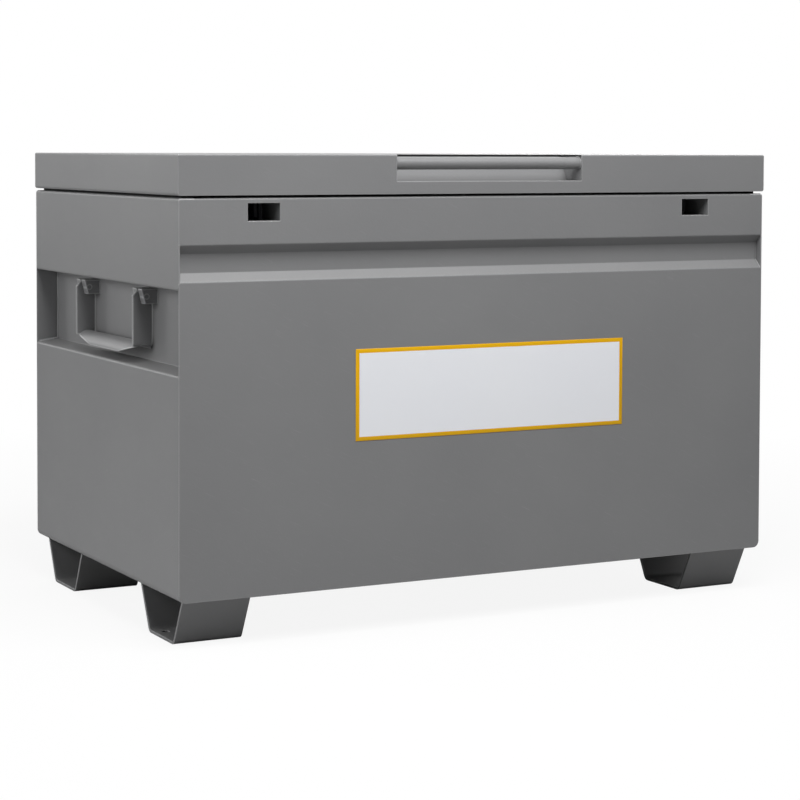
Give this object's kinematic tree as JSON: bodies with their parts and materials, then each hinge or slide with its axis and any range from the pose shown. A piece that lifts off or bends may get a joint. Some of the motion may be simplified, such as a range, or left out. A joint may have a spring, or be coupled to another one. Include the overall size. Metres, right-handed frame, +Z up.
{
  "type": "jobsite storage box",
  "caption": "Steel jobsite chest on lifting feet: front groove, padlock slots, recessed lid grip, drop side handles, and a lid on a full-length hinge and gas struts.",
  "frame": {"origin": "on the ground, at the centre of the rectangle of bolt holes in the four feet, which is the centre of the body's footprint", "axes": "+X to the right seen from the front, +Y from the front to the hinge side, +Z up"},
  "size_m": [1.2192, 0.7704, 0.85],
  "materials": {
    "shell_paint": "textured grey powder coat, satin",
    "fitting_paint": "grey powder coat on plate fittings",
    "bare_steel": "zinc-plated satin",
    "rod_chrome": "polished",
    "tube_paint": "black, gloss",
    "seal_rubber": "matte black"
  },
  "bodies": {
    "box": {"front_panel": "shell_paint", "back_panel": "shell_paint", "floor_panel": "shell_paint", "rim_seal": "seal_rubber", "hinge_body_leaf": "bare_steel", "hinge_pin": "bare_steel", "lock_staples": "fitting_paint", "body_strut_brackets": "fitting_paint", "left_side_panel": "shell_paint", "left_lock_housing": "shell_paint", "left_handle_clevises": "shell_paint", "left_handle_pins": "fitting_paint", "front_left_foot": "shell_paint", "back_left_foot": "shell_paint", "right_side_panel": "shell_paint", "right_lock_housing": "shell_paint", "right_handle_clevises": "shell_paint", "right_handle_pins": "fitting_paint", "front_right_foot": "shell_paint", "back_right_foot": "shell_paint"},
    "lid": {"lid_shell": "shell_paint", "lid_grip_pan": "shell_paint", "lid_grip_bar": "shell_paint", "hinge_lid_leaf": "bare_steel", "lock_tabs": "fitting_paint", "lid_strut_brackets": "fitting_paint", "left_lid_stiffener": "shell_paint", "right_lid_stiffener": "shell_paint"},
    "left_handle_bail": {"left_handle": "shell_paint"},
    "left_rod": {"left_strut_rod": "rod_chrome"},
    "left_tube": {"left_strut_tube": "tube_paint"},
    "right_handle_bail": {"right_handle": "shell_paint"},
    "right_rod": {"right_strut_rod": "rod_chrome"},
    "right_tube": {"right_strut_tube": "tube_paint"}
  },
  "joints": [
    {"name": "lid_hinge", "type": "hinge", "parent": "box", "child": "lid", "pos_m": [0, 0.3842, 0.7775], "axis": [-1, 0, 0], "range_deg": [0, 95]},
    {"name": "left_rod_swing", "type": "hinge", "parent": "box", "child": "left_rod", "pos_m": [-0.5456, 0.25127, 0.50856], "axis": [-1, 0, 0], "range_deg": [0, 47.5]},
    {"name": "left_tube_swing", "type": "hinge", "parent": "lid", "child": "left_tube", "pos_m": [-0.5456, 0.08504, 0.8], "axis": [1, 0, 0], "range_deg": [0, 47.5]},
    {"name": "left_handle_swing", "type": "hinge", "parent": "box", "child": "left_handle_bail", "pos_m": [-0.5861, 0, 0.596], "axis": [0, 1, 0], "range_deg": [0, 90]},
    {"name": "right_rod_swing", "type": "hinge", "parent": "box", "child": "right_rod", "pos_m": [0.5456, 0.25127, 0.50856], "axis": [-1, 0, 0], "range_deg": [0, 47.5]},
    {"name": "right_tube_swing", "type": "hinge", "parent": "lid", "child": "right_tube", "pos_m": [0.5456, 0.08504, 0.8], "axis": [1, 0, 0], "range_deg": [0, 47.5]},
    {"name": "right_handle_swing", "type": "hinge", "parent": "box", "child": "right_handle_bail", "pos_m": [0.5861, 0, 0.596], "axis": [0, -1, 0], "range_deg": [0, 90]}
  ],
  "couplings": [
    {"joint": "left_rod_swing", "follows": "lid_hinge", "ratio": 0.5},
    {"joint": "left_tube_swing", "follows": "lid_hinge", "ratio": 0.5},
    {"joint": "right_rod_swing", "follows": "lid_hinge", "ratio": 0.5},
    {"joint": "right_tube_swing", "follows": "lid_hinge", "ratio": 0.5}
  ]
}
